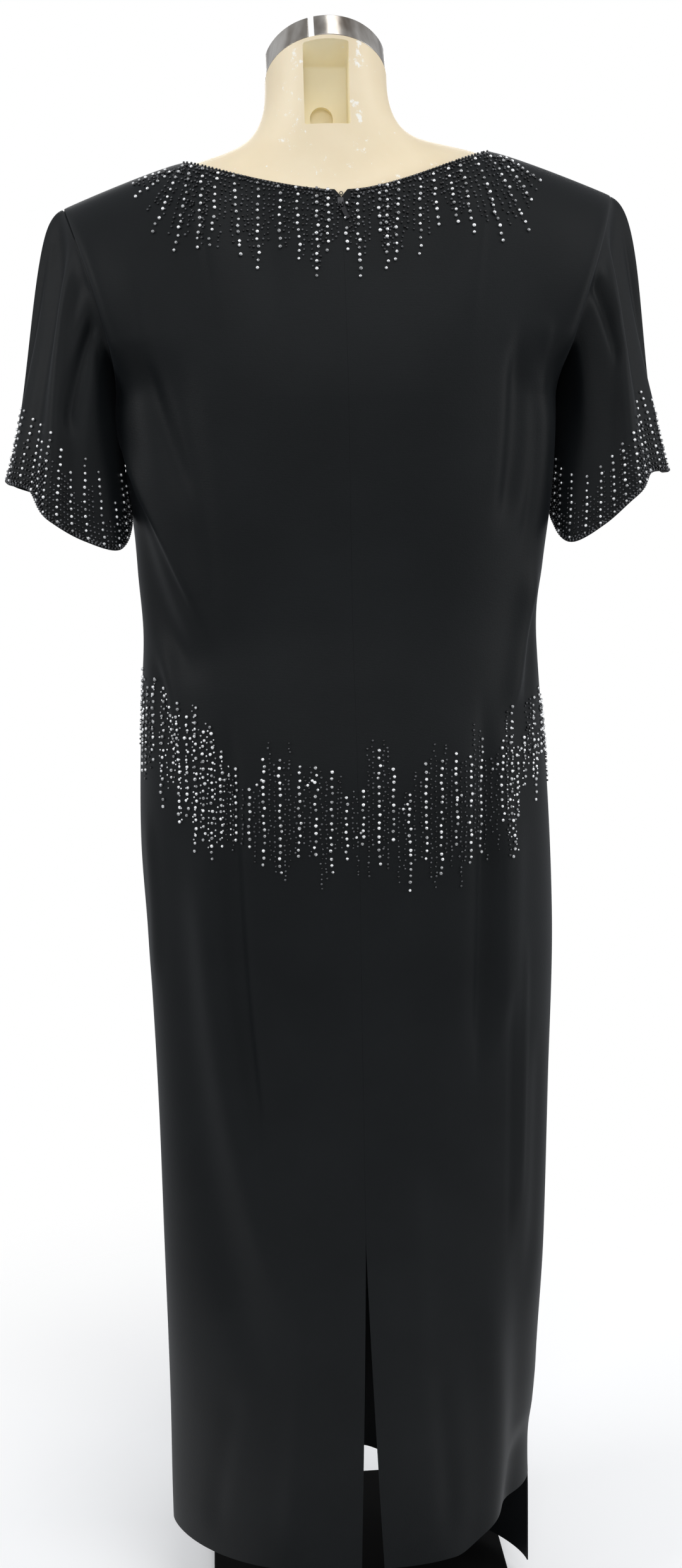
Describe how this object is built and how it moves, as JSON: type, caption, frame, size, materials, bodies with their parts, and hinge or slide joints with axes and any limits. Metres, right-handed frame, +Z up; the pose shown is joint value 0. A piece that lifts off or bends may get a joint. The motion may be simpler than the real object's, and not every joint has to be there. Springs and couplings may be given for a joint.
{
  "type": "long evening dress on a dress form",
  "caption": "Column evening dress with short flared sleeves, boat neckline, back zip and long back slit, worn on a limbless dress form with a chrome neck band and a flat base.",
  "frame": {"origin": "on the floor, at the centre of the base's underside", "axes": "+Z up, +X toward the wearer's left, the dress's front faces -Y and its zip faces +Y"},
  "size_m": [0.6095, 0.394, 1.5206],
  "materials": {
    "crepe": "matt black crepe with a faint sheen",
    "zip_metal": "black enamel",
    "hook_wire": "blackened wire",
    "form_plastic": "smooth cream, satin",
    "band_chrome": "polished",
    "pole_steel": "black powder coat",
    "base_metal": "black powder coat"
  },
  "bodies": {
    "dress_on_form": {"front": "crepe", "back_left": "crepe", "back_right": "crepe", "sleeve_left": "crepe", "sleeve_right": "crepe", "zip_slider": "zip_metal", "hook_eye": "hook_wire", "form_torso": "form_plastic", "neck_band": "band_chrome", "stand_pole": "pole_steel", "stand_base": "base_metal"},
    "pull_tab": {"zip_pull": "zip_metal"}
  },
  "joints": [
    {"name": "pull_tab_hinge", "type": "hinge", "parent": "dress_on_form", "child": "pull_tab", "pos_m": [0.001, 0.07708, 1.3629], "axis": [0.9272, 0.1157, -0.3563], "range_deg": [0, 160]}
  ]
}
